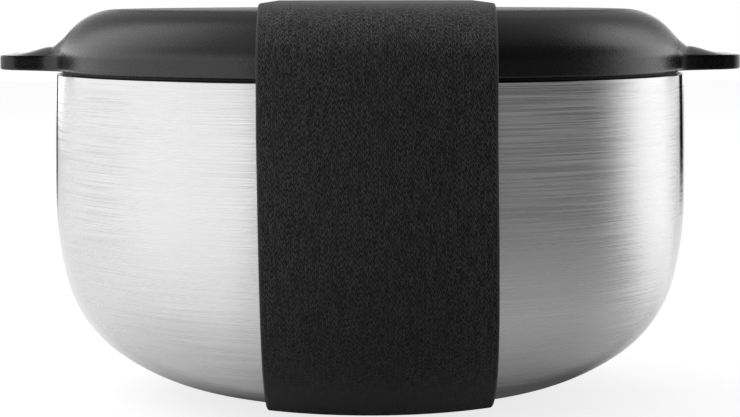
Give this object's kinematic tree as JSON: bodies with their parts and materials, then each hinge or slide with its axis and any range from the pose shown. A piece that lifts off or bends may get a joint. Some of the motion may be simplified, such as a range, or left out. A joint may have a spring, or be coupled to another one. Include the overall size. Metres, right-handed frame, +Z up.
{
  "type": "insulated bowl with lid",
  "caption": "Double-walled brushed steel bowl with a black domed lid with side ears, held shut by a wide elastic band.",
  "frame": {"origin": "middle of the footprint on the table, under the elastic band", "axes": "+Z up, +X along the line through the two ears of the lid, -Y towards the viewer of the picture"},
  "size_m": [0.1744, 0.1551, 0.0941],
  "materials": {
    "brushed_steel": "brushed round the bowl",
    "satin_steel": "satin",
    "getter_metal": "sintered",
    "solder": "dull",
    "black_plastic": "fine matte grain",
    "liner_plastic": "smooth satin",
    "silicone": "matte silicone",
    "elastic_webbing": "ribbed elastic webbing",
    "thread": "polyester thread"
  },
  "bodies": {
    "bowl": {"outer_shell": "brushed_steel", "inner_shell": "satin_steel", "getter": "getter_metal", "vacuum_seal": "solder", "base_cover": "brushed_steel"},
    "lid": {"lid_cover": "black_plastic", "lid_liner": "liner_plastic", "lid_gasket": "silicone"},
    "band": {"band": "elastic_webbing"},
    "band_top": {"band_stitching": "thread"}
  },
  "joints": [
    {"name": "lid_lift", "type": "slide", "parent": "bowl", "child": "lid", "axis": [0, 0, 1], "range_m": [0, 0.04]},
    {"name": "band_slide", "type": "slide", "parent": "bowl", "child": "band", "axis": [1, 0, 0], "range_m": [-0.12, 0.12], "deforming": ["band"]},
    {"name": "band_stretch", "type": "slide", "parent": "band", "child": "band_top", "axis": [0, 0, 1], "range_m": [0, 0.04], "deforming": ["band"]}
  ],
  "couplings": [
    {"joint": "band_stretch", "follows": "lid_lift", "ratio": 1}
  ]
}
